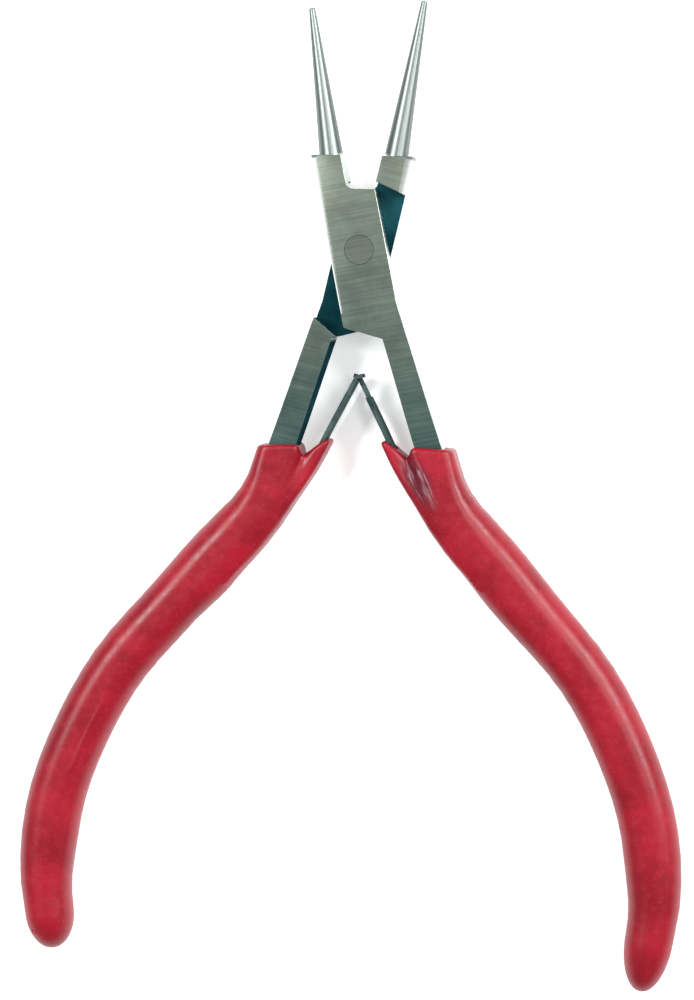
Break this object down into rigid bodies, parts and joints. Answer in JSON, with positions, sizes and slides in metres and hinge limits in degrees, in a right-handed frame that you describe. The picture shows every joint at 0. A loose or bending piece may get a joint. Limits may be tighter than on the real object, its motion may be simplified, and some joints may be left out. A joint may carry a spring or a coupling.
{
  "type": "round nose pliers",
  "caption": "Slim spring-loaded round nose pliers: two tapered cone jaws on a flush lap joint, a leaf return spring and curved red dipped grips, lying open",
  "frame": {"origin": "On the pivot's axis, at the joint's back face (the lower one as it lies).", "axes": "+Y runs from the pivot towards the jaws, midway between them; +Z is the pivot's axis and the front face's normal; +X is to the right, seen from the front."},
  "size_m": [0.0872, 0.1288, 0.0074],
  "materials": {
    "lever_steel": "ground and satin on the outer faces, dark heat-treated finish in the recesses",
    "rivet_steel": "ground flush with the joint",
    "spring_steel": "dark tempered strip",
    "grip_pvc": "dipped PVC skin, satin gloss, crimson"
  },
  "bodies": {
    "front": {"front_lever": "lever_steel", "pivot_rivet": "rivet_steel", "right_grip": "grip_pvc", "right_spring_foot": "spring_steel", "right_spring_rivet": "rivet_steel"},
    "rear": {"rear_lever": "lever_steel", "left_grip": "grip_pvc", "left_spring_foot": "spring_steel", "left_spring_rivet": "rivet_steel"},
    "left_leaf": {"left_leaf_spring": "spring_steel", "left_grip_web": "grip_pvc"},
    "right_leaf": {"right_leaf_spring": "spring_steel", "right_grip_web": "grip_pvc"}
  },
  "joints": [
    {"name": "pivot", "type": "hinge", "parent": "front", "child": "rear", "pos_m": [0, 0, 0.0031], "axis": [0, 0, 1], "range_deg": [0, 24.4], "stiffness_Nm_per_rad": 1.2},
    {"name": "left_leaf_bend", "type": "hinge", "parent": "rear", "child": "left_leaf", "pos_m": [-0.01154, -0.03639, 0.0031], "axis": [0, 0, 1], "range_deg": [0, 9]},
    {"name": "right_leaf_bend", "type": "hinge", "parent": "front", "child": "right_leaf", "pos_m": [0.01154, -0.03639, 0.0031], "axis": [0, 0, 1], "range_deg": [-9, 0]}
  ],
  "couplings": [
    {"joint": "left_leaf_bend", "follows": "pivot", "ratio": 0.3572},
    {"joint": "right_leaf_bend", "follows": "pivot", "ratio": -0.3572}
  ]
}
